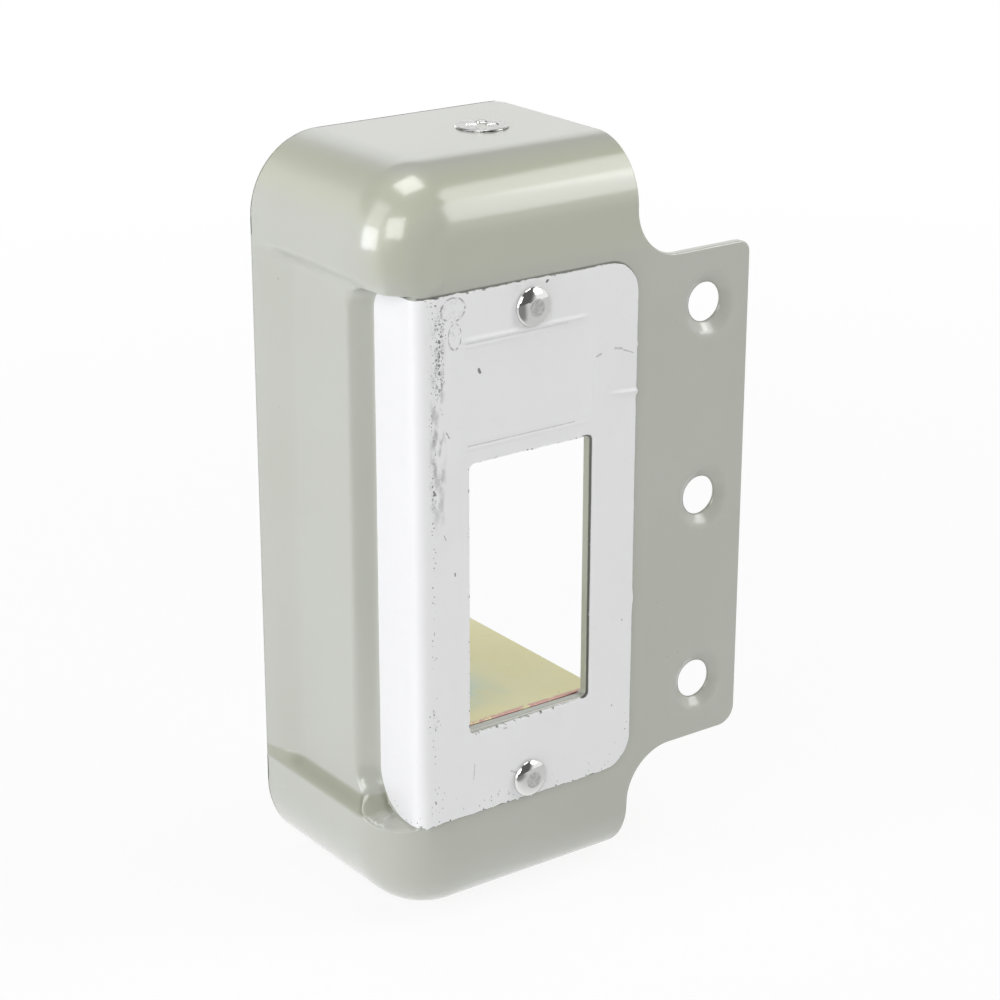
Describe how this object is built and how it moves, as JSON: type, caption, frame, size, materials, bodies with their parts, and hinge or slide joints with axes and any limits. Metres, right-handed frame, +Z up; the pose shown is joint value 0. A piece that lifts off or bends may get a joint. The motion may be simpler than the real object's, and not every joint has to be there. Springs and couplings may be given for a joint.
{
  "type": "door strike plate",
  "caption": "Painted steel strike case with a countersunk screwing flange, a riveted strike plate with a bolt window, and an inner bracket held by a screw.",
  "frame": {"origin": "axis of the middle screw hole at the flange's back face", "axes": "+X from the case to the flange, +Y into the case, +Z up the screw hole line"},
  "size_m": [0.0669, 0.0383, 0.1172],
  "materials": {
    "case_paint": "glossy pale grey paint with a slight olive cast",
    "bright_plate": "white enamel on thin sheet, with bare nicks at its cut edges",
    "rivet_steel": "polished nickel",
    "yellow_zinc": "yellow passivated zinc with faint rainbow clouds",
    "screw_nickel": "nickel plated"
  },
  "bodies": {
    "root": {"case": "case_paint", "strike_plate": "bright_plate", "rivets": "rivet_steel", "inner_bracket": "yellow_zinc", "bracket_screw": "screw_nickel"}
  },
  "joints": []
}
